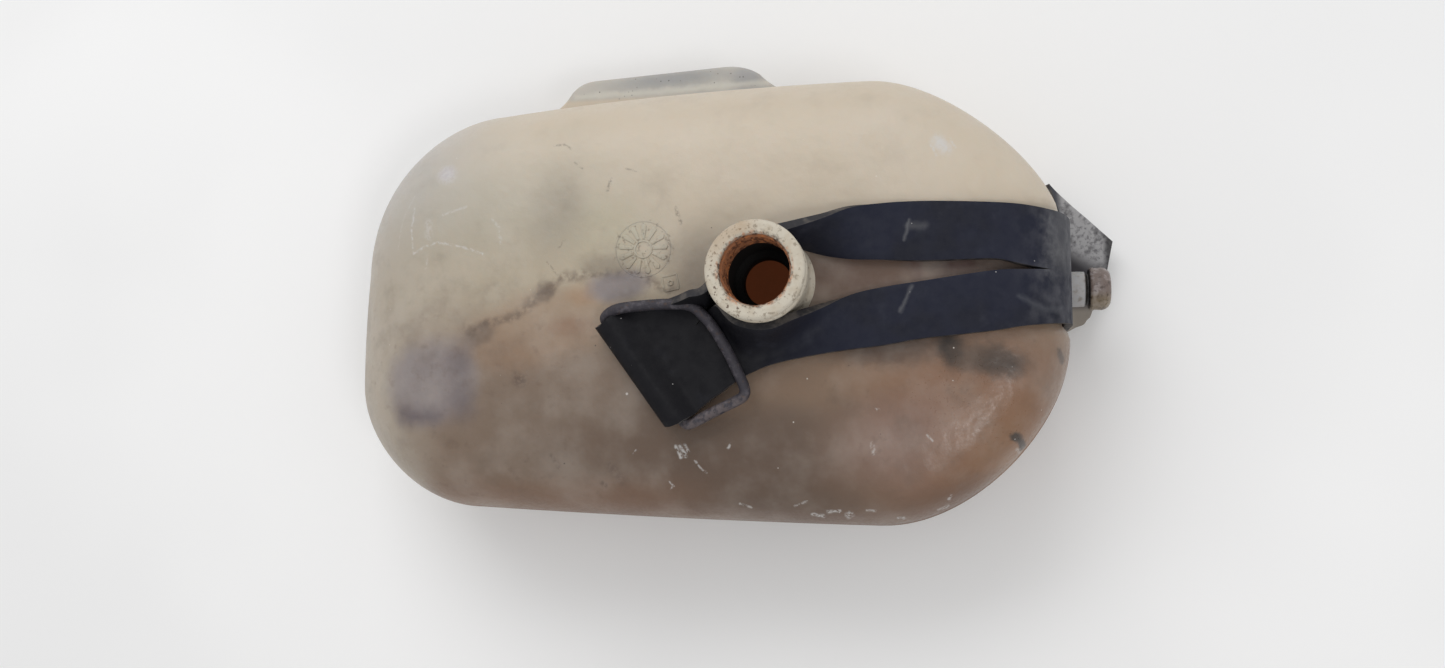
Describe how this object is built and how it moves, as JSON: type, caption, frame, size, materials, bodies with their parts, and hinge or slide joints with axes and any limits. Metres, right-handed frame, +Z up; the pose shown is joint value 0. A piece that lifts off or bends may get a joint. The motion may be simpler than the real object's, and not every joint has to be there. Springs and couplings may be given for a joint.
{
  "type": "coolant expansion tank",
  "caption": "Flat rounded translucent coolant expansion tank with an open threaded filler neck, hose outlet and a slit rubber hold-down strap with a wire bail.",
  "frame": {"origin": "centre of the flat underside, on the surface the tank rests on", "axes": "+Z up along the filler neck, +X along the long side towards the hose outlet, +Y towards the moulded tab"},
  "size_m": [0.3215, 0.1934, 0.122],
  "materials": {
    "tank_plastic": "aged translucent polypropylene, stained brown",
    "neck_plastic": "thick cream plastic, rust-stained inside",
    "amber_plastic": "glossy brown-grey plastic",
    "strap_rubber": "dull blue-black rubber with grey weathered edges",
    "anchor_rubber": "the same rubber, with a chalky grey foot",
    "bail_wire": "dull grey steel wire"
  },
  "bodies": {
    "tank": {"upper_shell": "tank_plastic", "lower_shell": "tank_plastic", "filler_neck": "neck_plastic", "outlet_nipple": "amber_plastic", "strap_anchor": "anchor_rubber"},
    "strap_span": {"strap_upper_strand": "strap_rubber", "strap_lower_strand": "strap_rubber", "strap_tongue": "strap_rubber"},
    "bail": {"wire_bail": "bail_wire"}
  },
  "joints": [
    {"name": "strap_lift", "type": "hinge", "parent": "tank", "child": "strap_span", "pos_m": [0.12, 0.007, 0.0916], "axis": [0, 1, 0], "range_deg": [0, 30]},
    {"name": "bail_swing", "type": "hinge", "parent": "strap_span", "child": "bail", "pos_m": [-0.0136, -0.0296, 0.0939], "axis": [0.5867, -0.8098, 0], "range_deg": [0, 170]}
  ]
}
